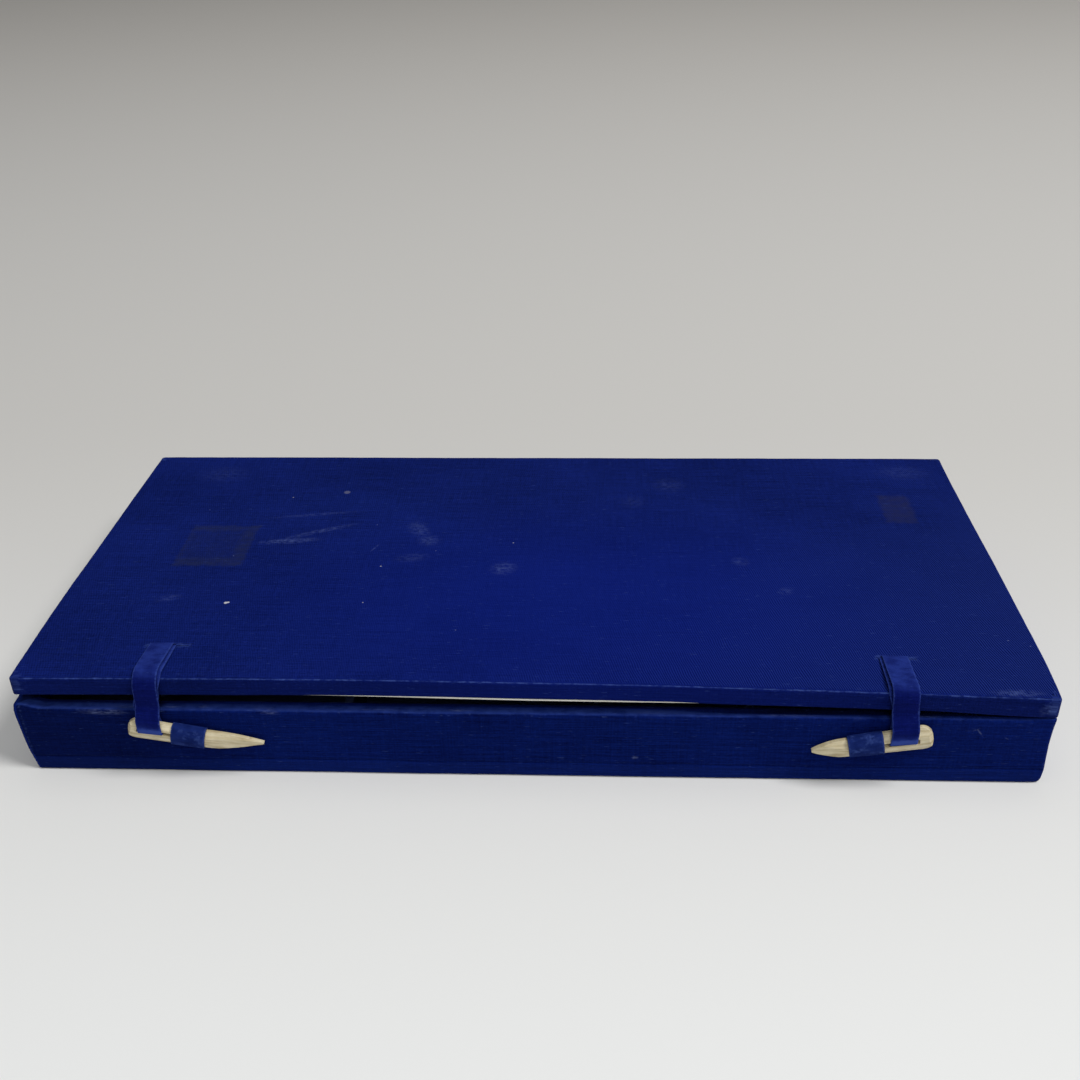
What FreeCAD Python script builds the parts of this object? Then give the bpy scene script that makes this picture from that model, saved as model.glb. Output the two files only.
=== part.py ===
"""Cloth-covered board case with a cloth-hinged lid and two bone clasps on straps.

Frame: origin at the centre of the underside, +X to the right along the front, +Y to the hinge side,
+Z up. Millimetres.
"""
import FreeCAD, Part
import math
import os
from collections import namedtuple

Vec = FreeCAD.Vector

# Case outline
case_length = 330.0
case_depth = 157.0
corner_radius = 2.0
edge_round = 1.0
rim_round = 0.8

# Boards and cloth
cloth = 0.6
base_board_thickness = 5.0
wall_board_thickness = 4.0
front_wall_top = 25.8
back_wall_top = 29.4
left_end_rise = 1.2
corner_post = 3.2
front_rise_run = 1.6
front_rise_bend = 1.2
turn_in = 9.0
crease_depth = 0.25
crease_width = 1.2

# Lid: straight and level along the hinge, bowed and twisted along the front
lid_gap = 0.3
lid_thickness = 6.3
lid_bow = 2.4
lid_twist = 1.9
lid_turn_in = 12.0
lid_under_round = 0.4
card_thickness = 0.6
card_front_margin = 1.1
card_glue = 0.05
card_side_clearance = 0.8
card_sag = 0.85
card_sag_reach = 78.0
card_stations = 12

# Cloth hinge
hinge_cloth_thickness = 0.5
hinge_bead_bore = 0.4
hinge_reach_down = 13.0
hinge_reach_up = 5.0
hinge_end_margin = 6.0

# Tray
lining = 0.5
divider_thickness = 3.0
divider_height = 14.0
divider_round = 0.9
scale_well_depth = 34.0
tool_well_depth = 42.0
left_well_length = 98.3
right_well_length = 86.3
short_tool_well_length = 120.3

# Straps and bands
layer = 0.5
strap_run = 17.4
strap_off = 0.1
strap_lift = 0.35
strap_tail = 12.0
strap_parting = 5.5
strap_split = 0.5
strap_inner_bend = 1.6
strap_lean_share = 0.6
strap_clearance = 0.15
band_clearance = 0.12
band_pinch = 0.8
band_tail = 3.0
band_bend = 1.15

# Clasps
clasp_gap = 0.9
slot_length = 12.4
slot_corner = 0.4
slot_taper = 0.4
clasp_head_share = 0.85
clasp_edge_share = 0.62
clasp_tip_share = 0.42
clasp_tip_round = 0.45

left_clasp_length = 44.0
left_clasp_width = 7.3
left_clasp_neck = 6.15
left_clasp_thickness = 2.6
left_clasp_tilt = 10.8
left_clasp_inset = 35.6
left_clasp_head_z = 20.5
left_clasp_shoulder = 25.0
left_clasp_tip_rise = 1.8
left_clasp_upper_swell = 0.89
left_clasp_lower_swell = 0.47
left_slot_start = 3.0
left_slot_height = 1.4
left_slot_drop = -0.1
left_band_start = 15.0
left_band_width = 11.4
left_strap_width = 8.0
left_strap_seat = 5.1

right_clasp_length = 37.8
right_clasp_width = 8.4
right_clasp_neck = 5.85
right_clasp_thickness = 3.0
right_clasp_tilt = 10.8
right_clasp_inset = 37.5
right_clasp_head_z = 20.9
right_clasp_shoulder = 26.5
right_clasp_tip_rise = 0.0
right_clasp_upper_swell = 0.79
right_clasp_lower_swell = 0.88
right_slot_start = 4.4
right_slot_height = 1.7
right_slot_drop = 0.2
right_band_start = 16.0
right_band_width = 11.1
right_strap_width = 8.5
right_strap_seat = 5.5

Clasp = namedtuple(
    "Clasp",
    "toward_centre length width neck thickness tilt inset head_z shoulder tip_rise upper_swell lower_swell"
    " slot_start slot_height slot_drop band_start band_width strap_width strap_seat",
)
left = Clasp(
    1, left_clasp_length, left_clasp_width, left_clasp_neck, left_clasp_thickness, left_clasp_tilt,
    left_clasp_inset, left_clasp_head_z, left_clasp_shoulder, left_clasp_tip_rise, left_clasp_upper_swell,
    left_clasp_lower_swell, left_slot_start, left_slot_height, left_slot_drop, left_band_start,
    left_band_width, left_strap_width, left_strap_seat,
)
right = Clasp(
    -1, right_clasp_length, right_clasp_width, right_clasp_neck, right_clasp_thickness, right_clasp_tilt,
    right_clasp_inset, right_clasp_head_z, right_clasp_shoulder, right_clasp_tip_rise,
    right_clasp_upper_swell, right_clasp_lower_swell, right_slot_start, right_slot_height, right_slot_drop,
    right_band_start, right_band_width, right_strap_width, right_strap_seat,
)

# Places worked out from the sizes above
half_length = case_length / 2
half_depth = case_depth / 2
board_inset = cloth + wall_board_thickness
covered_wall = board_inset + cloth
floor_inset = board_inset + max(cloth, lining)
base_top = cloth + base_board_thickness
floor_z = base_top + lining
lid_bottom = back_wall_top + lid_gap
hinge_z = back_wall_top + lid_gap / 2
left_front_top = back_wall_top + left_end_rise
right_front_top = back_wall_top - lid_twist
doubled = 2 * layer
beyond = 5.0
touch = 0.001


def block(x0, x1, y0, y1, z0, z1):
    """Box between two corners."""
    return Part.makeBox(x1 - x0, y1 - y0, z1 - z0, Vec(x0, y0, z0))


def rounded_face(corners, place):
    """Flat face through (u, v, radius) corners, each rounded by an arc; place maps u and v to space."""
    points = [Vec(u, v, 0) for u, v, radius in corners]
    stops = []
    for i, (u, v, radius) in enumerate(corners):
        back = (points[i - 1] - points[i]).normalize()
        ahead = (points[(i + 1) % len(points)] - points[i]).normalize()
        half_angle = back.getAngle(ahead) / 2
        reach = radius / math.tan(half_angle)
        bisector = (back + ahead).normalize()
        middle = points[i] + bisector * (radius / math.sin(half_angle) - radius)
        stops.append((points[i] + back * reach, middle, points[i] + ahead * reach, radius))
    edges = []
    for i, (start, middle, end, radius) in enumerate(stops):
        before = stops[i - 1][2]
        edges.append(Part.LineSegment(place(before.x, before.y), place(start.x, start.y)).toShape())
        if radius > 0:
            arc = Part.Arc(place(start.x, start.y), place(middle.x, middle.y), place(end.x, end.y))
            edges.append(arc.toShape())
    return Part.Face(Part.Wire(edges))


def plan_block(inset, z0, z1):
    """The case's outline with rounded vertical corners, drawn in by an inset."""
    x = half_length - inset
    y = half_depth - inset
    radius = max(corner_radius - inset, 0.0)
    corners = [(-x, -y, radius), (x, -y, radius), (x, y, radius), (-x, y, radius)]
    return rounded_face(corners, lambda u, v: Vec(u, v, z0)).extrude(Vec(0, 0, z1 - z0))


def front_top(side):
    """Height of an end wall's front corner: the lid rests on the right one, and the left stands higher."""
    return left_front_top if side < 0 else right_front_top


def above_ends(side, drop):
    """Space above one end wall and half the back wall: level at the back, sloping along the end."""
    level_y = half_depth - covered_wall
    slope = (front_top(side) - back_wall_top) / (level_y + half_depth)
    z_level = back_wall_top - drop
    y_out = half_depth + beyond
    z_out = front_top(side) - drop + slope * beyond
    z_high = back_wall_top + 2 * beyond
    corners = [
        (y_out, z_level, 0),
        (level_y, z_level, 0),
        (-y_out, z_out, 0),
        (-y_out, z_high, 0),
        (y_out, z_high, 0),
    ]
    face = rounded_face(corners, lambda u, v: Vec(0, u, v))
    return face.extrude(Vec(side * (half_length + beyond), 0, 0))


def front_notch(drop):
    """Space above the front wall: level along the front, climbing at both ends to the corner posts."""
    x_high = half_length - corner_post
    z_low = front_wall_top - drop
    z_out = back_wall_top + 2 * beyond

    def bend_and_top(side):
        climb = front_top(side) - front_wall_top
        half_angle = math.atan2(climb, front_rise_run) / 2
        x_bend = x_high - front_rise_run + drop * math.tan(half_angle)
        return x_bend, x_bend + front_rise_run * (z_out - z_low) / climb

    left_bend, left_out = bend_and_top(-1)
    right_bend, right_out = bend_and_top(1)
    corners = [
        (-left_bend, z_low, front_rise_bend),
        (right_bend, z_low, front_rise_bend),
        (right_out, z_out, 0),
        (-left_out, z_out, 0),
    ]
    face = rounded_face(corners, lambda u, v: Vec(u, -half_depth - beyond, v))
    return face.extrude(Vec(0, beyond + covered_wall + drop, 0))


def front_board():
    """Front wall board, between the end boards."""
    x = half_length - board_inset
    y = -half_depth + cloth
    return block(-x, x, y, y + wall_board_thickness, base_top, front_wall_top - cloth)


def back_board():
    """Back wall board."""
    x = half_length - board_inset
    y = half_depth - board_inset
    return block(-x, x, y, y + wall_board_thickness, base_top, back_wall_top - cloth)


def end_board(side):
    """End wall board over the whole depth; side is -1 for the left and 1 for the right."""
    inner = side * (half_length - board_inset)
    outer = side * half_length
    top = back_wall_top + beyond
    slab = block(min(inner, outer), max(inner, outer), -half_depth, half_depth, base_top, top)
    return slab.common(plan_block(cloth, base_top, top)).cut([above_ends(side, cloth), front_notch(cloth)])


def on_outline(point):
    """Whether a point lies on the case's outer face, flat or round."""
    across = max(corner_radius - half_length + abs(point.x), 0.0)
    along = max(corner_radius - half_depth + abs(point.y), 0.0)
    return abs(math.hypot(across, along) - corner_radius) < touch


def rim_edges(cover):
    """Outer top edges of the covered walls."""
    rim = []
    for edge in cover.Edges:
        start = edge.valueAt(edge.FirstParameter)
        end = edge.valueAt(edge.LastParameter)
        middle = edge.valueAt((edge.FirstParameter + edge.LastParameter) / 2)
        high = min(start.z, end.z) > front_wall_top - touch
        level = math.hypot(end.x - start.x, end.y - start.y) > touch
        if high and level and all(on_outline(point) for point in (start, middle, end)):
            rim.append(edge)
    return rim


def wall_cover(boards):
    """Strip of cloth round all four walls, over their tops and turned down inside."""
    top = back_wall_top + beyond
    skin = plan_block(0, cloth, top).cut(plan_block(cloth, cloth, top))
    collar_low = back_wall_top - turn_in
    collar = plan_block(0, collar_low, top).cut(plan_block(covered_wall, collar_low, top))
    x = half_length - board_inset
    y = -half_depth + cloth
    front_collar = block(-x, x, y, -half_depth + covered_wall, front_wall_top - turn_in, top)
    above = [front_notch(0), above_ends(-1, 0), above_ends(1, 0)]
    cover = skin.fuse([collar, front_collar]).cut(above).cut(boards).removeSplitter()
    cover = cover.makeFillet(rim_round, rim_edges(cover))
    crease = rounded_face(
        [
            (-half_depth, base_top - crease_width / 2, 0),
            (-half_depth + crease_depth, base_top, 0),
            (-half_depth, base_top + crease_width / 2, 0),
        ],
        lambda u, v: Vec(-half_length, u, v),
    ).extrude(Vec(case_length, 0, 0))
    return cover.cut(crease)


def lid_under(x, y):
    """Height of the lid's underside."""
    share = (half_depth - y) / case_depth
    along = x / half_length
    return lid_bottom + share * (lid_bow * (1 - along ** 2) - lid_twist * along)


def closed_section(under, over):
    """Wire of two curves along X and the upright lines between their ends."""
    lines = []
    for low, high in zip(under.Vertexes, over.Vertexes):
        lines.append(Part.makeLine(low.Point, high.Point))
    return Part.Wire(Part.__sortEdges__([under, over] + lines))


def lid_slab(inset, low, thickness):
    """Slab with the lid's own form; low is its underside's height above the lid's underside."""
    half = half_length - inset

    def parabola(y, rise):
        ends = [lid_under(x, y) + rise for x in (-half, half)]
        pole = 2 * (lid_under(0, y) + rise) - sum(ends) / 2
        curve = Part.BezierCurve()
        curve.setPoles([Vec(-half, y, ends[0]), Vec(0, y, pole), Vec(half, y, ends[1])])
        return curve.toShape()

    depths = [inset - half_depth, half_depth - inset]
    sections = [closed_section(parabola(y, low), parabola(y, low + thickness)) for y in depths]
    slab = Part.makeLoft(sections, True, True)
    radius = corner_radius - inset
    if radius <= 0:
        return slab
    upright = []
    for edge in slab.Edges:
        across = edge.Vertexes[-1].Point - edge.Vertexes[0].Point
        if math.hypot(across.x, across.y) < touch:
            upright.append(edge)
    return slab.makeFillet(radius, upright)


def lid_core():
    """Lid board, without its slits."""
    return lid_slab(cloth, cloth, lid_thickness - 2 * cloth)


def lid_cover(core):
    """Cloth over the lid's top and edges, turned in round the underside, without its slits."""
    outer = lid_slab(0, 0, lid_thickness)
    by_height = sorted(outer.Faces, key=lambda face: face.CenterOfMass.z)
    outer = outer.makeFillet(edge_round, by_height[-1].Edges)
    by_height = sorted(outer.Faces, key=lambda face: face.CenterOfMass.z)
    outer = outer.makeFillet(lid_under_round, by_height[0].Edges)
    window = lid_slab(lid_turn_in, -beyond, beyond + lid_thickness / 2)
    return outer.cut(core).cut(window)


def lid_card():
    """White card under the lid; it has come loose along the middle of the front and sags there."""
    half = half_length - covered_wall - card_side_clearance
    stations = [half * i / card_stations for i in range(-card_stations, card_stations + 1)]

    def curve(y, sag, drop):
        points = []
        for x in stations:
            loose = max(1 - abs(x) / card_sag_reach, 0.0)
            fall = card_glue + sag * (1 - math.cos(math.pi * loose)) / 2
            points.append(Vec(x, y, lid_under(x, y) - fall - drop))
        line = Part.BSplineCurve()
        line.interpolate(points)
        return line.toShape()

    def section(y, sag):
        return closed_section(curve(y, sag, card_thickness), curve(y, sag, 0))

    y0 = -half_depth + card_front_margin
    y1 = half_depth - covered_wall - card_side_clearance
    return Part.makeLoft([section(y0, card_sag), section(y1, 0)], True, True)


def hinge_strip():
    """Cloth over the joint of back wall and lid, with a half-round bead on the turning axis."""
    half = half_length - hinge_end_margin
    face_y = half_depth
    axis_y = face_y + hinge_cloth_thickness
    low = block(-half, half, face_y, axis_y, hinge_z - hinge_reach_down, hinge_z - hinge_bead_bore)
    high = block(-half, half, face_y, axis_y, hinge_z + hinge_bead_bore, hinge_z + hinge_reach_up)
    start = Vec(-half, axis_y, hinge_z)
    along = Vec(1, 0, 0)
    outer = Part.makeCylinder(hinge_bead_bore + hinge_cloth_thickness, 2 * half, start, along)
    bead = outer.cut(Part.makeCylinder(hinge_bead_bore, 2 * half, start, along))
    bead = bead.common(block(-half, half, axis_y, axis_y + beyond, hinge_z - beyond, hinge_z + beyond))
    return low.fuse([high, bead]).removeSplitter()


def floor_sheet():
    """Paper on the floor of the tray."""
    x = half_length - board_inset
    y = half_depth - board_inset
    return block(-x, x, -y, y, base_top, floor_z)


def long_lining(side, top):
    """Paper on the inner face of the front (-1) or back (1) wall, up to the turned-in cloth."""
    x = half_length - board_inset
    face = side * (half_depth - board_inset)
    inner = face - side * lining
    return block(-x, x, min(face, inner), max(face, inner), floor_z, top - turn_in)


def end_lining(side):
    """Paper on the inner face of the left (-1) or right (1) end, up to the turned-in cloth."""
    y = half_depth - floor_inset
    face = side * (half_length - board_inset)
    inner = face - side * lining
    return block(min(face, inner), max(face, inner), -y, y, floor_z, back_wall_top - turn_in)


def long_divider(y0):
    """Full-length divider strip whose front face is at y0."""
    x = half_length - floor_inset
    top = floor_z + divider_height
    y1 = y0 + divider_thickness
    corners = [(y0, floor_z, 0), (y1, floor_z, 0), (y1, top, divider_round), (y0, top, divider_round)]
    return rounded_face(corners, lambda u, v: Vec(-x, u, v)).extrude(Vec(2 * x, 0, 0))


def cross_divider(x_middle, y0, y1):
    """Short divider strip between two depths."""
    x0 = x_middle - divider_thickness / 2
    x1 = x_middle + divider_thickness / 2
    top = floor_z + divider_height
    corners = [(x0, floor_z, 0), (x1, floor_z, 0), (x1, top, divider_round), (x0, top, divider_round)]
    return rounded_face(corners, lambda u, v: Vec(u, y0, v)).extrude(Vec(0, y1 - y0, 0))


def head_x(clasp):
    """Where a clasp's head ends, measured in from the end of the case."""
    return clasp.toward_centre * (clasp.inset - half_length)


def to_clasp_place(shape, clasp):
    """Move a shape from the clasp's own frame: x from head to point, y = 0 at its back, z across."""
    shape.rotate(Vec(0, 0, 0), Vec(0, 1, 0), clasp.tilt)
    if clasp.toward_centre < 0:
        shape = shape.mirror(Vec(0, 0, 0), Vec(1, 0, 0))
    shape.translate(Vec(head_x(clasp), -half_depth - clasp_gap, clasp.head_z))
    return shape


def bone_clasp(clasp):
    """Flat bone peg: round head with a slot, narrowing to a shoulder, convex front, faceted point."""
    w = clasp.width / 2
    neck = clasp.neck / 2
    head = w * clasp_head_share
    tip_high = clasp.tip_rise + clasp_tip_round
    tip_low = clasp.tip_rise - clasp_tip_round
    swell_x = (clasp.shoulder + clasp.length) / 2
    swell_high = neck * clasp.upper_swell
    swell_low = -neck * clasp.lower_swell
    diagonal = head * (1 - math.cos(math.radians(45)))

    def at(x, z):
        return Vec(x, 0, z)

    edges = [
        Part.makeLine(at(0, -(w - head)), at(0, w - head)),
        Part.Arc(at(0, w - head), at(diagonal, w - diagonal), at(head, w)).toShape(),
        Part.makeLine(at(head, w), at(clasp.shoulder, neck)),
        Part.Arc(at(clasp.shoulder, neck), at(swell_x, swell_high), at(clasp.length, tip_high)).toShape(),
        Part.makeLine(at(clasp.length, tip_high), at(clasp.length, tip_low)),
        Part.Arc(at(clasp.length, tip_low), at(swell_x, swell_low), at(clasp.shoulder, -neck)).toShape(),
        Part.makeLine(at(clasp.shoulder, -neck), at(head, -w)),
        Part.Arc(at(head, -w), at(diagonal, -w + diagonal), at(0, -(w - head))).toShape(),
    ]
    peg = Part.Face(Part.Wire(edges)).extrude(Vec(0, -clasp.thickness, 0))
    sag = clasp.thickness * (1 - clasp_edge_share)
    swell = (w ** 2 + sag ** 2) / (2 * sag)
    axis_y = swell - clasp.thickness
    peg = peg.common(
        Part.makeCylinder(swell, clasp.length + 2 * beyond, Vec(-beyond, axis_y, 0), Vec(1, 0, 0))
    )
    tip_y = -clasp.thickness * clasp_tip_share
    front_y = -clasp.thickness
    facet = rounded_face(
        [
            (clasp.shoulder, front_y, 0),
            (clasp.length, tip_y, 0),
            (clasp.length, front_y - beyond, 0),
            (clasp.shoulder, front_y - beyond, 0),
        ],
        lambda u, v: Vec(u, v, -clasp.width),
    ).extrude(Vec(0, 0, 2 * clasp.width))
    slot_end = clasp.slot_start + slot_length
    slot_low = -clasp.slot_drop - clasp.slot_height / 2
    slot_high = -clasp.slot_drop + clasp.slot_height / 2
    slot = rounded_face(
        [
            (clasp.slot_start, slot_low, slot_corner),
            (slot_end, slot_low + slot_taper, slot_corner),
            (slot_end, slot_high, slot_corner),
            (clasp.slot_start, slot_high, slot_corner),
        ],
        lambda u, v: Vec(u, beyond, v),
    ).extrude(Vec(0, -clasp.thickness - 2 * beyond, 0))
    return to_clasp_place(peg.cut([facet, slot]), clasp)


def clasp_band(clasp):
    """Cloth loop close round the clasp; both legs close in behind it and pass through the front wall."""
    head = clasp.width / 2 * clasp_head_share
    taper = (clasp.band_start - head) / (clasp.shoulder - head)
    inner_z = (clasp.width + (clasp.neck - clasp.width) * taper) / 2 + band_clearance
    outer_z = inner_z + layer
    inner_y = -clasp.thickness - band_clearance
    outer_y = inner_y - layer
    leg_z = inner_z - band_pinch
    back_y = band_clearance
    end_y = clasp_gap + board_inset
    mitre = layer * math.tan(math.atan2(band_pinch, clasp_gap - back_y) / 2)
    upper = [
        (end_y, leg_z + layer, 0),
        (clasp_gap + mitre, leg_z + layer, 0),
        (back_y + mitre, outer_z, 0),
        (outer_y, outer_z, band_bend + layer),
    ]
    upper_inside = [
        (inner_y, inner_z, band_bend),
        (back_y, inner_z, 0),
        (clasp_gap, leg_z, 0),
        (end_y, leg_z, 0),
    ]
    lower = [(u, -v, radius) for u, v, radius in reversed(upper)]
    lower_inside = [(u, -v, radius) for u, v, radius in reversed(upper_inside)]
    x0 = clasp.band_start
    x1 = x0 + clasp.band_width
    outline = upper + lower + lower_inside + upper_inside
    loop = rounded_face(outline, lambda u, v: Vec(x0, u, v)).extrude(Vec(x1 - x0, 0, 0))
    upper_tail = block(x0, x1, end_y - layer, end_y, leg_z - band_tail, leg_z)
    lower_tail = block(x0, x1, end_y - layer, end_y, -leg_z - layer - band_tail, -leg_z - layer)
    return to_clasp_place(loop.fuse([upper_tail, lower_tail]).removeSplitter(), clasp)


def clasp_strap(clasp):
    """Doubled cloth strap: a tail under the lid board, up a slit, over the lid's edge, round the rail.

    The loop round the rail leans with the clasp; the rest is level.
    """
    slope = math.radians(clasp.tilt)
    width = clasp.strap_width
    fall = width * math.tan(slope * strap_lean_share)
    along = clasp.slot_start + clasp.strap_seat
    x_middle = head_x(clasp) + clasp.toward_centre * along * math.cos(slope)
    x0 = x_middle - width / 2
    x1 = x_middle + width / 2
    near_z = clasp.head_z - (along - width / 2) * math.sin(slope)
    far_z = clasp.head_z - (along + width / 2) * math.sin(slope)
    slot_high = clasp.slot_height / 2 - clasp.slot_drop
    hole_low = far_z + slot_high * math.cos(slope) - strap_clearance + fall
    hole_high = near_z + clasp.width / 2 * math.cos(slope) + strap_clearance
    part_z = hole_high + strap_parting
    split_z = part_z + strap_split
    back_y = -half_depth - strap_off
    slit_y = -half_depth + strap_run
    tail_y = slit_y + strap_tail
    front_y = -half_depth - clasp_gap - clasp.thickness - strap_clearance
    edge_top = max(lid_under(x, -half_depth) for x in (x0, x1)) + lid_thickness + strap_lift
    slit_top = max(lid_under(x, slit_y) for x in (x0, x1)) + lid_thickness + strap_off
    tail_z = min(lid_under(x, y) for x in (x0, x1) for y in (slit_y, tail_y)) + cloth - strap_off
    upper = [
        (tail_y, tail_z, 0),
        (tail_y, tail_z + doubled, 0),
        (slit_y + doubled, tail_z + doubled, 0),
        (slit_y + doubled, slit_top + doubled, layer),
        (back_y - doubled, edge_top + doubled, strap_inner_bend + doubled),
        (back_y - doubled, split_z, 0),
        (back_y, split_z, 0),
        (back_y, edge_top, strap_inner_bend),
        (slit_y, slit_top, 0),
        (slit_y, tail_z, 0),
    ]
    loop = [
        (back_y, split_z + fall + strap_split, 0),
        (back_y - doubled, split_z + fall + strap_split, 0),
        (back_y - doubled, part_z, strap_parting / 2),
        (front_y - layer, hole_high, strap_parting / 2),
        (front_y - layer, hole_low - layer, layer),
        (back_y, hole_low - layer, layer),
    ]
    opening = [
        (back_y - layer, hole_low, 0),
        (front_y, hole_low, 0),
        (front_y, hole_high, strap_parting / 2),
        (back_y - layer, part_z, 0),
    ]

    def swept(corners, x, run):
        return rounded_face(corners, lambda u, v: Vec(x, u, v)).extrude(run)

    near_x = x0 if clasp.toward_centre > 0 else x1
    lean = Vec(clasp.toward_centre * width, 0, -fall)
    below = block(x0 - beyond, x1 + beyond, front_y - beyond, half_depth, 0, split_z)
    ring = swept(loop, near_x, lean).cut(swept(opening, near_x, lean)).common(below)
    return swept(upper, x0, Vec(width, 0, 0)).fuse(ring).removeSplitter()


def build():
    """All pieces by name."""
    front = front_board()
    back = back_board()
    left_end = end_board(-1)
    right_end = end_board(1)
    cover = wall_cover([front, back, left_end, right_end])
    core = lid_core()
    lid_cloth = lid_cover(core)
    bands = [clasp_band(left), clasp_band(right)]
    straps = [clasp_strap(left), clasp_strap(right)]
    rear_y = half_depth - floor_inset - scale_well_depth - divider_thickness
    middle_y = rear_y - tool_well_depth - divider_thickness
    front_y = -half_depth + floor_inset
    end_x = half_length - floor_inset
    left_cross_x = -end_x + left_well_length + divider_thickness / 2
    right_cross_x = end_x - right_well_length - divider_thickness / 2
    middle_cross_x = end_x - short_tool_well_length - divider_thickness / 2
    return {
        "base_board": plan_block(cloth, cloth, base_top),
        "base_cloth": plan_block(0, 0, cloth),
        "front_wall_board": front.cut(bands),
        "back_wall_board": back,
        "left_end_board": left_end,
        "right_end_board": right_end,
        "wall_cloth": cover.cut(bands),
        "base_lining": floor_sheet(),
        "front_lining": long_lining(-1, front_wall_top),
        "back_lining": long_lining(1, back_wall_top),
        "left_lining": end_lining(-1),
        "right_lining": end_lining(1),
        "rear_divider": long_divider(rear_y),
        "front_divider": long_divider(middle_y),
        "left_cross_divider": cross_divider(left_cross_x, front_y, middle_y),
        "right_cross_divider": cross_divider(right_cross_x, front_y, middle_y),
        "middle_cross_divider": cross_divider(middle_cross_x, middle_y + divider_thickness, rear_y),
        "left_band": bands[0],
        "right_band": bands[1],
        "hinge_cloth": hinge_strip(),
        "lid_board": core.cut(straps),
        "lid_cloth": lid_cloth.cut(straps),
        "lid_lining": lid_card(),
        "left_strap": straps[0],
        "right_strap": straps[1],
        "left_clasp": bone_clasp(left),
        "right_clasp": bone_clasp(right),
    }


os.makedirs("parts", exist_ok=True)
for name, shape in build().items():
    solids = shape.Solids
    piece = solids[0] if len(solids) == 1 else shape
    print(name, len(solids), "solid" if shape.isValid() else "NOT VALID", round(shape.Volume, 1))
    piece.exportStep("parts/" + name + ".step")
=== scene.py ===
"""Looks of the cloth-covered case: cloth, straps, bands, bone clasps and paper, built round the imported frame."""

import math

import bmesh
import bpy
import numpy as np
from mathutils import Matrix, Vector, noise


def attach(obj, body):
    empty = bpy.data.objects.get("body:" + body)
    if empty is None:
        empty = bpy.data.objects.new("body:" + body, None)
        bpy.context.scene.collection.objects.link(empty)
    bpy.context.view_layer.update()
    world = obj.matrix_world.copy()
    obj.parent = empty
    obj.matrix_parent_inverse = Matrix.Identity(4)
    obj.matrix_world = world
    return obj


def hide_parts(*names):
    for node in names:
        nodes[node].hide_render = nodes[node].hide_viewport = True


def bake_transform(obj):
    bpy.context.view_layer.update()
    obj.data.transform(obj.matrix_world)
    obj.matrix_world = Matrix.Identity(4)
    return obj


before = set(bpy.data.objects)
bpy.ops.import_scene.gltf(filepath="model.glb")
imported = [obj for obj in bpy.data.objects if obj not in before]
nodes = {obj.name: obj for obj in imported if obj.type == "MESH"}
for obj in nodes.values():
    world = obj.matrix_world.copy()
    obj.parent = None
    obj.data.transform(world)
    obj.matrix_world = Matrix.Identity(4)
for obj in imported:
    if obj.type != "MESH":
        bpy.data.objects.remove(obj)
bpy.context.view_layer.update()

# Sizes in millimetres, as in the solids
HALF_X, HALF_Y, CORNER = 165.0, 78.5, 1.4
END_X, END_Y = HALF_X - CORNER, HALF_Y - CORNER
LID_UNDER, LID_THICK, LID_BOW, LID_TWIST = 29.7, 6.3, 2.4, 1.9
LID_TOP_ROUND, LID_LOW_ROUND, LID_TURN_IN = 0.8, 0.4, 12.0
BACK_TOP, FRONT_TOP, LEFT_TOP, RIGHT_TOP = 29.4, 25.8, 30.6, 27.5
WALL_COVERED, TURN_IN = 5.2, 9.0
LEFT_POST, RIGHT_POST, POST_RUN = 27.3, 26.3, 4.0
CREASE_Z = 5.6
CLOTH, LAYER = 0.6, 0.5
HINGE_Y, HINGE_Z = 79.0, 29.55
SLIT_Y = -61.1
CLASP_BACK = -79.4
STRAP_LEAN = 0.6
# Clear space behind a strip of cloth, and at the clasp's rail
GAP, RAIL_GAP = 0.14, 0.17
# Where the front wall rises to its corner posts
POST_X = (156.0, 163.0)
# How far the lid cover's ends bow out, from front to back, and where the bow sets in
LID_ENDS_Y = (-79, -72, -57, -38, -22, 0, 35, 55, 79)
LID_ENDS = {
    "left": (0.8, 1.0, 1.2, 1.4, 1.4, 1.05, 0.8, 0.6, 0.3),
    "right": (0.65, 1.1, 1.3, 1.2, 1.1, 0.85, 0.2, 0.0, 0.0),
}
LID_ENDS_X = (140, 162)
# How far the lid cover's front lip hangs, each with its run in X, and the run in Y
LIP_HANG = ((0.8, 125, 160), (0.3, -78, -95), (0.3, 44, 60))
LIP_RUN = (-60, -76)
# How far the cloth of the end walls bows out: heights and amounts
BOW_LEFT = ((0.6, 8, 16, 22, 24.5, 27), (0, 1.5, 2.2, 2.6, 2.6, 2.0))
BOW_RIGHT = ((0.6, 5, 10, 16, 22, 26), (0.3, 0.65, 0.4, 0.12, 0.35, 0.75))
# Clasps: way of the point, tilt in degrees, head (X, Z), sizes, band (start, width), fuller edges of the point
CLASPS = {
    "left": dict(to=1, tilt=10.8, head=(-129.4, 20.5), width=7.3, neck=6.15, shoulder=25.0, thick=2.6, length=44.0,
                 slot=3.0, slot_h=1.4, drop=-0.1, band=(14.2, 11.0), swell=(0.45, 0.0)),
    "right": dict(to=-1, tilt=10.8, head=(127.5, 20.9), width=8.4, neck=5.85, shoulder=26.5, thick=3.0, length=37.8,
                  slot=4.4, slot_h=1.7, drop=0.2, band=(15.4, 11.0), swell=(0.1, 0.4)),
}
# Straps: X at the slit, the lid's edge and the clasp, width, place in the slot, tuck, frayed run
STRAPS = {
    "left": dict(slit=-120.9, edge=-120.9, low=-121.75, width=7.9, seat=5.1, tuck=0.9, frayed=(-126.2, -112.2)),
    "right": dict(slit=117.4, edge=117.2, low=118.1, width=8.4, seat=5.5, tuck=0.4, frayed=(111.8, 124.6)),
}


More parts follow.
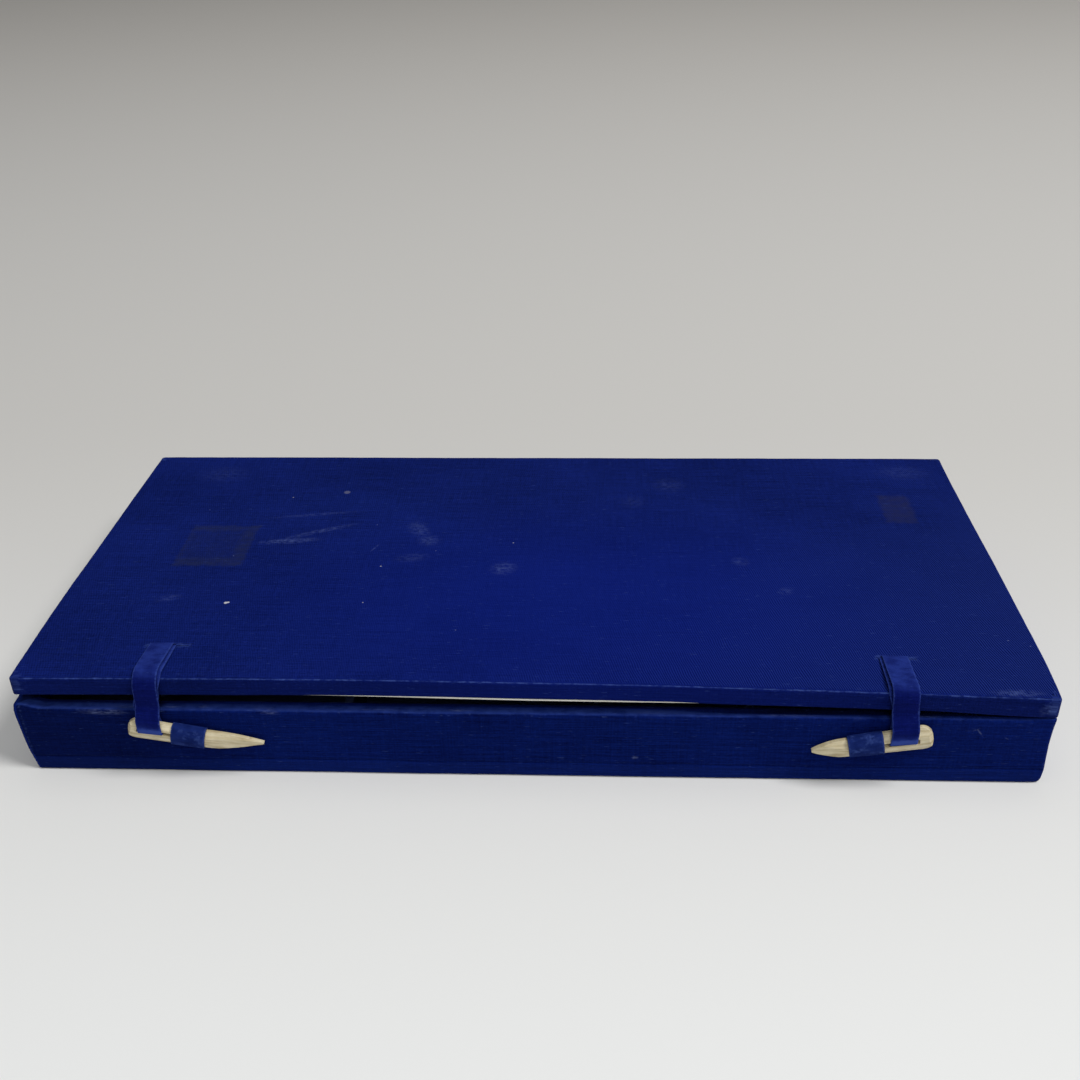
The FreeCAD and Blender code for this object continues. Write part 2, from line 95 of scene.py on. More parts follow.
def lid_under(x, y):
    """Height of the lid's underside: bowed and twisted at the front, straight at the hinge."""
    share = (HALF_Y - y) / (2 * HALF_Y)
    along = x / HALF_X
    return LID_UNDER + share * (LID_BOW * (1 - along ** 2) - LID_TWIST * along)


def lid_reach(x, y):
    """How far the cloth at the lid's ends bows out past the straight edge."""
    out = np.interp(y, LID_ENDS_Y, LID_ENDS["right" if x > 0 else "left"])
    return math.copysign(out * smooth(*LID_ENDS_X, abs(x)), x)


def drift(x, y, z, size, seed):
    """Smooth noise from -1 to 1 whose features are about size millimetres."""
    return noise.noise(Vector((x / size + seed * 7.31, y / size - seed * 3.17, z / size + seed * 1.93)))


def smooth(low, high, value):
    """Soft step from 0 at low to 1 at high."""
    t = min(max((value - low) / (high - low), 0.0), 1.0)
    return t * t * (3 - 2 * t)


def spaced(low, high, step, fixed=()):
    """Stops from low to high about step apart that include the fixed ones."""
    stops = sorted({low, high, *[f for f in fixed if low < f < high]})
    out = []
    for a, b in zip(stops, stops[1:]):
        n = max(1, round((b - a) / step))
        out += [a + (b - a) * i / n for i in range(n)]
    return out + [high]


def quarter(parts):
    """Angles of a quarter turn in even steps."""
    return [math.radians(90 * i / parts) for i in range(parts + 1)]


def add_object(name, data):
    """Object in the scene that holds a mesh, lamp or camera."""
    piece = bpy.data.objects.new(name, data)
    bpy.context.scene.collection.objects.link(piece)
    return piece


def plain_mesh(name, bm):
    """Mesh from a bmesh, which is freed."""
    mesh = bpy.data.meshes.new(name)
    bm.to_mesh(mesh)
    bm.free()
    return mesh


def add_face(bm, uv, corners):
    """Face through corners, each a vertex and its place on the cloth."""
    face = bm.faces.new([vert for vert, _ in corners])
    for loop, (_, place) in zip(face.loops, corners):
        loop[uv].uv = place


def finish_mesh(name, bm, angle=40):
    """Object from a bmesh in millimetres, with smooth faces and sharp edges above an angle."""
    bmesh.ops.remove_doubles(bm, verts=bm.verts, dist=1e-4)
    bmesh.ops.dissolve_degenerate(bm, edges=bm.edges, dist=1e-4)
    bmesh.ops.recalc_face_normals(bm, faces=bm.faces)
    bmesh.ops.scale(bm, vec=(0.001, 0.001, 0.001), verts=bm.verts)
    mesh = plain_mesh(name, bm)
    mesh.polygons.foreach_set("use_smooth", [True] * len(mesh.polygons))
    mesh.set_sharp_from_angle(angle=math.radians(angle))
    return add_object(name, mesh)


def cloth_mesh():
    """Empty mesh with a place on the cloth, in millimetres, and its wear and its fading with painted light."""
    bm = bmesh.new()
    uv = bm.loops.layers.uv.new("Cloth")
    wear = bm.verts.layers.float.new("wear")
    fade_and_painted_light = bm.verts.layers.float.new("fade_and_painted_light")
    return bm, uv, wear, fade_and_painted_light


def outline_columns(xs, ys, arc=5):
    """Stations round the case, front first: (side, place along it, angle of the outward direction)."""
    sides = (("front", xs, "right_front"), ("right", ys, "right_back"), ("back", xs[::-1], "left_back"),
             ("left", ys[::-1], "left_front"))
    columns = []
    for i, (side, stops, corner) in enumerate(sides):
        angle = 90.0 * i - 90.0
        columns += [(side, stop, angle) for stop in stops]
        columns += [(corner, k, angle + 90 * k / arc) for k in range(1, arc)]
    return columns


def outline_point(column, inset):
    """Where a station lies on the outline drawn in by an inset."""
    side, place, angle = column
    x_in, y_in = HALF_X - max(inset, CORNER), HALF_Y - max(inset, CORNER)
    radius = max(CORNER - inset, 0.0)
    a = math.radians(angle)
    if side in ("front", "back"):
        y = HALF_Y - inset
        return min(max(place, -x_in), x_in), -y if side == "front" else y
    if side in ("left", "right"):
        x = HALF_X - inset
        return (x if side == "right" else -x), min(max(place, -y_in), y_in)
    cx = x_in if "right" in side else -x_in
    cy = y_in if "back" in side else -y_in
    return cx + radius * math.cos(a), cy + radius * math.sin(a)


def wrap_columns(bm, uv, marks, columns, rows, place):
    """Skin over stations and section rows. place gives (x, y, z), cloth place, wear, fading and the seam's step."""
    made = [[place(column, row) for row in rows] for column in columns]
    points = [[bm.verts.new(p[0]) for p in line] for line in made]
    for line, info in zip(points, made):
        for v, p in zip(line, info):
            v[marks[0]], v[marks[1]] = p[2], p[3]
    count = len(columns)
    for i in range(count):
        j = (i + 1) % count
        for k in range(len(rows) - 1):
            corners = []
            for a, b in ((i, k), (j, k), (j, k + 1), (i, k + 1)):
                u, v = made[a][b][1]
                seam = made[-1][b][4] if j == 0 and a == 0 else 0.0
                corners.append((points[a][b], (u + seam, v)))
            add_face(bm, uv, corners)


def edge_wear(distance, reach):
    """Falls from 1 at an edge towards 0 over a reach."""
    return math.exp(-max(distance, 0.0) / reach)


def lid_cover():
    """Cloth over the lid: rounded worn edges, folded corners, turned in underneath, slit for both straps."""
    bm, uv, wear, fade_and_painted_light = cloth_mesh()
    slit_x = []
    for s in STRAPS.values():
        slit_x += [s["slit"] - s["width"] / 2 - 0.25, s["slit"] + s["width"] / 2 + 0.25, *s["frayed"]]
    slit_y = [SLIT_Y - 0.2, SLIT_Y + 0.3, SLIT_Y + 0.65, SLIT_Y + 1.25]
    border, fold_start, fold_step, half_up = 3.0, 159.3, 0.2, 3.0
    folds = [side * (fold_start + fold_step * i) for side in (-1, 1) for i in range(4)]
    xs = spaced(-END_X, END_X, 2.0, [-HALF_X + border, HALF_X - border, *slit_x, *folds])
    ys = spaced(-END_Y, END_Y, 2.0, [-HALF_Y + border, HALF_Y - border, *slit_y])
    section = [(LID_TURN_IN, CLOTH), (LID_TURN_IN, 0.1), (LID_TURN_IN - 0.3, 0.0), (9.0, 0.0), (6.0, 0.0)]
    section += [(border, 0.0), (CORNER, 0.0), (1.0, 0.0)]
    section += [(LID_LOW_ROUND * (1 - math.sin(a)), LID_LOW_ROUND * (1 - math.cos(a))) for a in quarter(4)]
    high = LID_THICK - LID_TOP_ROUND
    section += [(0.0, LID_LOW_ROUND + (high - LID_LOW_ROUND) * i / 6) for i in range(1, 6)]
    section += [(LID_TOP_ROUND * (1 - math.cos(a)), high + LID_TOP_ROUND * math.sin(a)) for a in quarter(6)]
    section += [(CORNER, LID_THICK), (border, LID_THICK)]
    travel = [0.0]
    for a, b in zip(section, section[1:]):
        travel.append(travel[-1] + math.dist(a, b))
    travel = [travel[-1] - t for t in travel]
    rows = list(zip(section, travel))

    def bent(x, y, z, h):
        """Small unevenness of board and cloth, and the thicker cloth where a corner is folded."""
        from_end, from_side = HALF_X - abs(x), HALF_Y - abs(y)
        x_way, y_way = 1 if x > 0 else -1, 1 if y > 0 else -1
        side = drift(x, y, z, 28, 1) * 0.13 + drift(x, y, z, 7, 2) * 0.06
        near = edge_wear(min(from_end, from_side), border)
        out_x = side * near * x_way if from_end < border else 0.0
        out_y = side * near * y_way if from_side < border else 0.0
        if from_side < 0.6 and from_end > CORNER - 0.1:
            folded = 0.24 * (1 - smooth(5.0, 5.7, from_end - 0.25 * (h - half_up)))
            out_y += folded * smooth(0.1, 0.8, h) * smooth(6.2, 5.4, h) * y_way
        up = (drift(x, y, 0, 60, 3) * 0.16 + drift(x, y, 0, 17, 4) * 0.05) * (1 if h > half_up else 0.15)
        up += drift(x, y, 0, 5.0, 5) * 0.06 * near * (1 if h > half_up else 0)
        return x + out_x + lid_reach(x, y), y + out_y, z + up

    def place(column, row):
        (inset, h), t = row
        x, y = outline_point(column, inset)
        hang = sum(drop * smooth(start, end, x) for drop, start, end in LIP_HANG) * smooth(*LIP_RUN, y)
        z = lid_under(x, y) + h - hang * (1 - h / LID_THICK) * max(1 - inset / LID_TURN_IN, 0.0)
        bx, by = outline_point(column, border)
        a = math.radians(column[2])
        cloth = (bx + t * math.cos(a), by + t * math.sin(a))
        if h > LID_THICK / 2:
            w = 0.74 * edge_wear(abs(t - (border - 0.25)) - 0.12, 0.3)
        else:
            w = 0.6 * edge_wear(abs(t - (border + 6.2)) - 0.3, 0.5)
        corner = math.hypot(HALF_X - abs(x), HALF_Y - abs(y))
        w = max(w, 0.62 * edge_wear(corner - 3.0, 4.0) * (1 if h > 0.5 else 0))
        return bent(x, y, z, h), cloth, w, 0.0, 0.0

    wrap_columns(bm, uv, (wear, fade_and_painted_light), outline_columns(xs, ys), rows, place)
    gx = [x for x in xs if abs(x) <= HALF_X - border + 1e-6]
    gy = [y for y in ys if abs(y) <= HALF_Y - border + 1e-6]
    grid = {}
    for i, x in enumerate(gx):
        for j, y in enumerate(gy):
            z = lid_under(x, y) + LID_THICK
            pucker = 0.0
            w = 0.85 * edge_wear(min(HALF_X - abs(x), HALF_Y - abs(y)) - 0.4, 0.4)
            for s in STRAPS.values():
                dx = max(s["frayed"][0] - x, x - s["frayed"][1], 0.0)
                dy = max(SLIT_Y - y, y - SLIT_Y - 1.2, 0.0)
                pucker = max(pucker, edge_wear(math.hypot(dx, dy), 1.1))
            px, py, pz = bent(x, y, z, LID_THICK)
            grid[i, j] = bm.verts.new((px, py, pz + 0.14 * pucker))
            grid[i, j][wear] = max(w, 0.7 * pucker)

    def in_slit(x, y):
        return any(abs(x - s["slit"]) < s["width"] / 2 + 0.2 and slit_y[0] < y < slit_y[3]
                   or s["frayed"][0] < x < s["frayed"][1] and slit_y[1] < y < slit_y[2] for s in STRAPS.values())

    for i in range(len(gx) - 1):
        for j in range(len(gy) - 1):
            if in_slit((gx[i] + gx[i + 1]) / 2, (gy[j] + gy[j + 1]) / 2):
                continue
            corners = [(i, j), (i + 1, j), (i + 1, j + 1), (i, j + 1)]
            add_face(bm, uv, [(grid[a, b], (gx[a], gy[b])) for a, b in corners])
    bmesh.ops.remove_doubles(bm, verts=bm.verts, dist=1e-3)

    # The slits' lips turn down into the board
    above, near_slit, lip = 34.0, 4.0, 1.6
    lips = [e for e in bm.edges if len(e.link_faces) == 1 and min(v.co.z for v in e.verts) > above
            and abs(e.verts[0].co.y - SLIT_Y) < near_slit]
    turned = bmesh.ops.extrude_edge_only(bm, edges=lips)["geom"]
    bmesh.ops.translate(bm, vec=(0, 0, -lip), verts=[v for v in turned if isinstance(v, bmesh.types.BMVert)])
    return finish_mesh("lid_cover", bm)


def wall_height(x, y):
    """Top of the covered walls: the ends slope, and the front is lower between its corner posts."""
    level_y = HALF_Y - WALL_COVERED
    front, post = (LEFT_TOP, LEFT_POST) if x < 0 else (RIGHT_TOP, RIGHT_POST)
    end = BACK_TOP + (front - BACK_TOP) * min(max((level_y - y) / (level_y + HALF_Y), 0.0), 1.0)
    end += (post - end) * smooth(POST_RUN - level_y, -level_y, y)
    if y > -level_y + 0.05:
        return end
    return FRONT_TOP + (end - FRONT_TOP) * smooth(*POST_X, abs(x))


def bulge(side, x, y, z):
    """How far an end wall's cloth moves towards -X as it bows out: the left one a lot, the right one a little."""
    if "right" in side or x > 140:
        out = float(np.interp(z, *BOW_RIGHT))
        return -out * smooth(-20, -60, y) * (1.0 if "right" in side else smooth(150, END_X, x))
    out = float(np.interp(z, *BOW_LEFT))
    along = 0.35 + 0.65 * smooth(78, -40, y)
    if side in ("front", "back"):
        return out * along * smooth(-135, -END_X, x)
    return out * along if "left" in side else 0.0


def wall_cover():
    """Strip of cloth round the walls: worn rounded rim, turned down inside, crease over the base board."""
    bm, uv, wear, fade_and_painted_light = cloth_mesh()
    posts = [side * (POST_X[0] + 0.7 * i) for side in (-1, 1) for i in range(11)]
    xs = spaced(-END_X, END_X, 2.2, posts)
    inner = HALF_Y - WALL_COVERED
    ys = spaced(-END_Y, END_Y, 3.0, [-inner, *[-inner + 0.12 + 0.5 * i for i in range(9)], inner])
    rim, inner_rim, foot, low_top = 0.9, 0.6, 0.03, 7.2
    section = [(0.7, "low", foot), (0.35, "low", 0.1), (0.1, "low", 0.3), (0.0, "low", 0.6)]
    section += [(0.0, "low", z) for z in (1.6, 2.8, 4.0, 4.7, 5.1, 5.35, 5.6, 5.85, 6.1, 6.5, low_top)]
    section += [(0.0, "share", i / 9) for i in range(1, 9)]
    section += [(rim * (1 - math.cos(a)), "top", -rim * (1 - math.sin(a))) for a in quarter(6)]
    section += [(inset, "top", 0.0) for inset in (1.3, 1.7, 2.1, 2.4, 2.7, 3.0, 3.4, 3.8, 4.2)]
    section += [(WALL_COVERED - inner_rim + inner_rim * math.sin(a), "top", -inner_rim * (1 - math.cos(a)))
                for a in quarter(4)]
    section += [(WALL_COVERED, "inside", share) for share in (0.25, 0.5, 0.75, 0.98)]
    section += [(WALL_COVERED - 0.1, "inside", 1.0), (WALL_COVERED - CLOTH, "inside", 1.0)]
    columns = outline_columns(xs, ys)
    stops = [outline_point(c, 0.0) for c in columns]
    along, whole = {}, 0.0
    for column, here, after in zip(columns, stops, stops[1:] + stops[:1]):
        along[column] = whole
        whole += math.dist(after, here)

    def place(column, row):
        inset, kind, value = row
        if kind == "low" and value < 2:
            ex, ey = outline_point(column, inset)
            inset += 0.5 * (1 - value / 2) ** 2 * smooth(161, 165, ex) * smooth(-72, -78, ey)
        x, y = outline_point(column, inset)
        top = wall_height(x, y)
        front = column[0] == "front"
        if kind == "low":
            z = travel = value
        elif kind == "share":
            z = travel = low_top + (top - rim - low_top) * value
        elif kind == "top":
            z = top + value
            travel = top + inset * 0.9
        else:
            low = (FRONT_TOP if y < -inner + 0.05 else BACK_TOP) - TURN_IN
            z = top - inner_rim + (low - top + inner_rim) * value
            travel = top + 5 + value * TURN_IN
        side = drift(x, y, z, 30, 11) * 0.13 + drift(x, y, z, 8, 12) * 0.05
        if inset < 1.0 and value != foot:
            a = math.radians(column[2])
            groove = 0.0
            if front:
                groove = 0.30 * math.exp(-((z - CREASE_Z - 0.15 * drift(x, 0, 0, 25, 13)) / 0.38) ** 2)
            x += side * math.cos(a)
            y += side * math.sin(a) + groove
        if kind != "inside":
            x -= bulge(column[0], x, y, z) * max(1 - inset / 4.5, 0.0)
        if kind == "top":
            calm = 1.0 if front and abs(x) < 158 else 0.35
            z += (drift(x, y, 0, 34, 14) * 0.13 + drift(x, y, 0, 6, 15) * 0.06) * calm
        w = 0.0
        if kind == "top":
            w = 0.45 * edge_wear(abs(inset - 0.3), 1.0)
        elif kind == "share":
            w = 0.55 * edge_wear(top - z - 0.6, 0.6)
        elif kind == "low":
            w = max(0.58 * edge_wear(value, 0.7), 0.5 * edge_wear(abs(value - 6.1), 0.4) if front else 0)
        corner = math.hypot(HALF_X - abs(x), HALF_Y - abs(y))
        w = max(w, 0.6 * edge_wear(corner, 1.2))
        # Paler cloth on top of the rim, set in the fade attribute: partly wear, partly painted light where the lamps
        # reach in under the lid; less to the right and on the other walls
        pale = 0.0
        if kind == "top":
            reach = 3.9 - 2.0 * smooth(30, 80, x)
            pale = smooth(0.1, 0.5, inset) * smooth(reach, reach - 1.2, inset)
            pale *= 1 - 0.4 * smooth(50, 120, x) if front else 0.4
        return (x, y, z), (along[column], travel), w, pale, whole

    wrap_columns(bm, uv, (wear, fade_and_painted_light), columns, section, place)
    return finish_mesh("wall_cover", bm)


def end_core(side):
    """End wall board with its front corner cut down to stay under the cloth of the corner post."""
    bm = bmesh.new()
    bm.from_mesh(nodes[side + "_end_board"].data)
    inner = HALF_Y - WALL_COVERED
    edge = -HALF_X if side == "left" else HALF_X
    under = 1.0
    cuts = np.linspace(-inner, POST_RUN - inner + 0.6, 8)
    for y in cuts:
        bmesh.ops.bisect_plane(bm, geom=bm.verts[:] + bm.edges[:] + bm.faces[:], dist=1e-7,
                               plane_co=(0, y / 1000, 0), plane_no=(0, 1, 0))
    for v in bm.verts:
        y = v.co.y * 1000
        if y < cuts[-1] + 0.01:
            v.co.z = min(v.co.z, (wall_height(edge, y) - under) / 1000)
    return add_object(side + "_end_core", plain_mesh(side + "_end_core", bm))


def base_cover():
    """Cloth panel under the base board."""
    bm, uv, wear, fade_and_painted_light = cloth_mesh()
    xs = spaced(-END_X, END_X, 6.0)
    ys = spaced(-END_Y, END_Y, 6.0)
    rows = [(0.5, 0.6), (0.42, 0.35), (0.5, 0.12), (0.75, 0.02), (1.2, 0.0), (CORNER, 0.0)]

    def place(column, row):
        inset, z = row
        x, y = outline_point(column, inset)
        return (x, y, z), (x, y), 0.6 * edge_wear(inset - 0.4, 0.8), 0.0, 0.0

    wrap_columns(bm, uv, (wear, fade_and_painted_light), outline_columns(xs, ys), rows, place)
    grid = {(i, j): bm.verts.new((x, y, 0.0)) for i, x in enumerate(xs) for j, y in enumerate(ys)}
    for i in range(len(xs) - 1):
        for j in range(len(ys) - 1):
            corners = [(i, j), (i, j + 1), (i + 1, j + 1), (i + 1, j)]
            add_face(bm, uv, [(grid[a, b], (xs[a], ys[b])) for a, b in corners])
    return finish_mesh("base_cover", bm)


def filleted(points, step=0.25):
    """Flat path through (u, v, radius) points with rounded corners, in even steps."""
    line = [np.array(points[0][:2], float)]
    for before, here, after in zip(points, points[1:], points[2:]):
        p = np.array(here[:2], float)
        a = np.array(before[:2], float) - p
        b = np.array(after[:2], float) - p
        la, lb = np.linalg.norm(a), np.linalg.norm(b)
        a, b = a / la, b / lb
        half = math.acos(max(-1.0, min(1.0, float(a @ b)))) / 2
        reach = min(here[2] / math.tan(half), 0.49 * la, 0.49 * lb)
        radius = reach * math.tan(half)
        centre = p + (a + b) / np.linalg.norm(a + b) * radius / math.sin(half)
        start, end = p + a * reach, p + b * reach
        t0 = math.atan2(*(start - centre)[::-1])
        sweep = math.atan2(*(end - centre)[::-1]) - t0
        sweep = (sweep + math.pi) % (2 * math.pi) - math.pi
        n = max(4, int(abs(sweep) * radius / step))
        line += [centre + radius * np.array([math.cos(t0 + sweep * i / n), math.sin(t0 + sweep * i / n)])
                 for i in range(n + 1)]
    line.append(np.array(points[-1][:2], float))
    out = []
    for a, b in zip(line, line[1:]):
        n = max(1, int(np.linalg.norm(b - a) / (step * 3)))
        out += [a + (b - a) * i / n for i in range(n)]
    return out + [line[-1]]


def ribbon(name, count, at, width, thick, seed, parts=12, faded_and_painted_light=None, rubbed=None):
    """Strip of cloth: at(i, a) is its middle surface at station i, a millimetres across; edges are rounded."""
    bm, uv, wear, fade_and_painted_light = cloth_mesh()
    r = thick / 2
    flat = [(-width / 2 + r + (width - 2 * r) * i / parts, r) for i in range(parts + 1)]
    bend = [(width / 2 - r + r * math.cos(a), r * math.sin(a)) for a in (math.pi / 4, 0, -math.pi / 4)]
    profile = [(way * a, way * b) for way in (1, -1) for a, b in flat + bend]
    lines, travel = [], 0.0
    for i in range(count):
        travel += (at(i, 0) - at(i - 1, 0)).length if i else 0.0
        line = []
        for a, b in profile:
            ahead = at(min(i + 1, count - 1), a) - at(max(i - 1, 0), a)
            across = at(i, a + 0.05) - at(i, a - 0.05)
            n = across.cross(ahead).normalized()
            edge = abs(a) / (width / 2)
            sway = 0.09 * drift(travel, a, 0, 7, seed) * edge ** 4 * (1 if a > 0 else -1)
            lift = 0.03 * drift(travel, a, b, 3.0, seed + 1) + 0.04 * drift(travel, a, 0, 9.0, seed + 2)
            v = bm.verts.new(at(i, a + sway) + n * (b + lift))
            v[wear] = 0.8 * edge_wear((1 - edge) * width / 2 - 0.25, 0.3)
            v[wear] = max(v[wear], rubbed(i, a) if rubbed else 0.0)
            v[fade_and_painted_light] = faded_and_painted_light(i, a) if faded_and_painted_light else 0.0
            line.append((v, (a if b > -r else width - a, travel)))
        lines.append(line)
    sides = len(profile)
    for i in range(count - 1):
        for k in range(sides):
            m = (k + 1) % sides
            add_face(bm, uv, [lines[i][k], lines[i][m], lines[i + 1][m], lines[i + 1][k]])
    for line in (lines[0], lines[-1]):
        add_face(bm, uv, line)
    return finish_mesh(name, bm)


def at_clasp(c, u, y, w):
    """Point in the clasp's own frame: u from head to point, y out from its back, w across."""
    a = math.radians(c["tilt"])
    x = u * math.cos(a) + w * math.sin(a)
    z = -u * math.sin(a) + w * math.cos(a)
    return c["head"][0] + c["to"] * x, CLASP_BACK + y, c["head"][1] + z


def strap(side):
    """Doubled strap: up from its slit, over the lid's edge, round the clasp's upper rail and back."""
    c, s = CLASPS[side], STRAPS[side]
    a = math.radians(c["tilt"])
    lean = math.tan(a * STRAP_LEAN)
    half = s["width"] / 2
    u = c["slot"] + s["seat"]
    middle = c["head"][0] + c["to"] * u * math.cos(a)
    slot_high = c["slot_h"] / 2 - c["drop"]
    low = c["head"][1] - (u + half) * math.sin(a) + slot_high * math.cos(a) - RAIL_GAP + half * lean
    high = c["head"][1] - (u - half) * math.sin(a) + c["width"] / 2 * math.cos(a) + 0.15 - half * lean
    top = lid_under(middle, -HALF_Y) + LID_THICK + 0.5
    out = lid_under(middle, SLIT_Y) + LID_THICK + 0.12
    tail = out - LID_THICK + CLOTH
    back = -HALF_Y - GAP - LAYER / 2
    front = CLASP_BACK - c["thick"] - RAIL_GAP - LAYER / 2
    part = high + 5.5
    over, under = SLIT_Y + 0.05 + LAYER * 1.5, SLIT_Y + LAYER * 0.5
    line = filleted([
        (over, tail, 0), (over, out + LAYER * 1.9, 0.75), (back - 2.2, top + 2.4, 7.0), (back - 1.3, part, 4.0),
        (front, high + 0.4, 4.0), (front, low - LAYER / 2, 0.4), (back, low - LAYER / 2, 0.4),
        (back, high + 0.6, 1.5), (back - 0.75, part, 3.0), (back - 0.5, top + 1.0, 4.0),
        (under, out + LAYER * 0.5, 0.35), (under, tail, 0),
    ])
    turn = min(range(len(line)), key=lambda i: abs(line[i][0] - (front + back) / 2) + abs(line[i][1] - low + LAYER / 2))

    def at(i, across):
        y, z = line[i]
        hung = y < -HALF_Y + 1
        behind = smooth(turn - 5, turn + 5, i)
        hang = smooth(top, high, z) if hung else 0.0
        x = s["edge"] + (s["low"] - s["edge"]) * hang
        x += (s["slit"] - s["edge"]) * smooth(-HALF_Y, SLIT_Y, y)
        x += c["to"] * ((0.02 + 0.8 * smooth(top - 5, top, z)) * behind - 0.12)
        x -= c["to"] * s["tuck"] * smooth(low + 0.5, high, z) * smooth(part + 4, part, z) * behind
        tilted = -c["to"] * lean * smooth(top - 3, high, z) if hung else 0.0
        level = lid_under(x + across, max(y, -HALF_Y)) - lid_under(x, max(y, -HALF_Y))
        return Vector((x + across, y, z + tilted * across + level * (1 - hang)))

    # Paler where the strap lies over the lid: partly fading, partly a painted sheen of a top face; paler still near the
    # fold round the rail from wear
    def faded_and_painted_light(i, across):
        y, z = line[i]
        return 0.05 + 0.95 * smooth(-HALF_Y - 1.8, -HALF_Y + 2.0, y) + 2.2 * edge_wear(z - low - 1.0, 0.9)

    def rubbed(i, across):
        return 1.3 * edge_wear(line[i][1] - low - 1.2, 0.9)

    seed = 21 if side == "left" else 31
    return ribbon(side + "_strap_loop", len(line), at, s["width"], LAYER, seed, faded_and_painted_light=faded_and_painted_light, rubbed=rubbed)


def band(side):
    """Loop of cloth drawn tight over the clasp, its legs closing in behind it and going into the wall."""
    c = CLASPS[side]
    start, width = c["band"]
    t, head = c["thick"], 3.1

    def reach(u):
        share = min(max((u - head) / (c["shoulder"] - head), 0.0), 1.0)
        return c["width"] / 2 + (c["neck"] - c["width"]) / 2 * share + GAP + LAYER / 2

    middle = reach(start + width / 2)
    front = -t - GAP - LAYER / 2
    upper = [
        (3.9, middle - 0.8, 0), (0.62, middle - 0.8, 0.3), (-0.2, middle, 0.5), (-0.62 * t - 0.1, middle, 0.5),
        (-0.62 * t - 0.6, middle - 0.4, 0.6), (front, 1.1, 4.0),
    ]
    line = filleted(upper + [(y, -w, radius) for y, w, radius in reversed(upper)])

    def at(i, across):
        y, w = line[i]
        u = start + width / 2 + across
        return Vector(at_clasp(c, u, y, w * reach(u) / middle))

    seed = 41 if side == "left" else 51
    return ribbon(side + "_band_loop", len(line), at, width, LAYER, seed, faded_and_painted_light=lambda i, a: 1.0)


def hinge_strip():
    """Cloth strip over the joint at the back, with a soft bead on the turning axis."""
    y, length, thick = HALF_Y + 0.25, 318.0, 0.46
    line = [(y, z) for z in np.linspace(16.55, 28.6, 22)]
    line += [(HINGE_Y - 0.2 + 0.86 * math.cos(math.radians(t)), HINGE_Z + 0.7 * math.sin(math.radians(t)))
             for t in np.linspace(-80, 80, 17)]
    line += [(y, z) for z in np.linspace(30.5, 34.55, 10)]
    return ribbon("hinge_strip", len(line), lambda i, a: Vector((a, *line[i])), length, thick, 61, parts=110)


def bone_clasp(side):
    """Hand-cut bone peg: the solid's form with worn edges, a few facets and a fuller point."""
    c = CLASPS[side]
    a = math.radians(c["tilt"])
    bm = bmesh.new()
    bm.from_mesh(nodes[side + "_clasp"].data)
    bmesh.ops.remove_doubles(bm, verts=bm.verts, dist=2e-6)

    def facet(u, y, w, normal):
        nu, ny, nw = normal
        n = Vector((c["to"] * (nu * math.cos(a) + nw * math.sin(a)), ny, -nu * math.sin(a) + nw * math.cos(a)))
        co = Vector(at_clasp(c, u, y, w)) / 1000
        cut = bmesh.ops.bisect_plane(bm, geom=bm.verts[:] + bm.edges[:] + bm.faces[:], dist=1e-7, plane_co=co,
                                     plane_no=n.normalized(), clear_outer=True)
        rim = [e for e in cut["geom_cut"] if isinstance(e, bmesh.types.BMEdge)]
        bmesh.ops.holes_fill(bm, edges=rim, sides=0)

    w, t = c["width"] / 2, c["thick"]
    if side == "left":
        upper, head_y = (5, -t + 0.1, w - 0.7, (0.02, -1.0, 0.95)), -t + 0.3
        point = (30, -t * 0.80, 1.4, (0.03, -1.0, 0.75))
    else:
        upper, head_y = (1.0, -t + 0.2, w - 1.75, (-0.10, -1.0, 0.9)), -t + 0.5
        point = (27, -t * 0.78, 1.3, (0.03, -1.0, 0.7))
    facet(*upper)
    facet(5, -t + 0.15, -w + 0.5, (0, -1.0, -0.8))
    facet(0.9, head_y, 0, (-1.0, -0.9, 0.1))
    facet(*point)
    bmesh.ops.triangulate(bm, faces=[f for f in bm.faces if len(f.verts) > 4])
    piece = add_object(side + "_bone_clasp", plain_mesh(side + "_bone", bm))
    for kind, settings in (("REMESH", {"mode": "VOXEL", "voxel_size": 0.00012}),
                           ("SMOOTH", {"factor": 0.5, "iterations": 3}), ("DECIMATE", {"ratio": 0.3})):
        modifier = piece.modifiers.new(kind.lower(), kind)
        for key, value in settings.items():
            setattr(modifier, key, value)
    bpy.context.view_layer.update()
    done = bpy.data.meshes.new_from_object(piece.evaluated_get(bpy.context.evaluated_depsgraph_get()))
    piece.modifiers.clear()
    piece.data = done
    uv = done.uv_layers.new(name="Cloth")
    place = np.zeros((len(done.vertices), 2))
    covered = sum(c["band"])
    for i, v in enumerate(done.vertices):
        x, z = c["to"] * (v.co.x * 1000 - c["head"][0]), v.co.z * 1000 - c["head"][1]
        place[i] = (x * math.cos(a) - z * math.sin(a), x * math.sin(a) + z * math.cos(a))
        share = min(max((place[i][0] - covered) / (c["length"] - covered), 0.0), 1.0)
        lift = c["swell"][0] * smooth(-1, 2, place[i][1]) + c["swell"][1] * smooth(1, -2, place[i][1])
        lift *= math.sin(math.pi * share) / 1000
        v.co += Vector((c["to"] * math.sin(a), 0, math.cos(a))) * lift
    corner = np.zeros(len(done.loops), int)
    done.loops.foreach_get("vertex_index", corner)
    uv.data.foreach_set("uv", place[corner].ravel())
    done.polygons.foreach_set("use_smooth", [True] * len(done.polygons))
    return piece


def linear(r, g, b):
    """Colour written in 0 to 255 screen values, as the shader wants it."""
    def one(v):
        v /= 255
        return v / 12.92 if v <= 0.04045 else ((v + 0.055) / 1.055) ** 2.4
    return one(r), one(g), one(b), 1.0


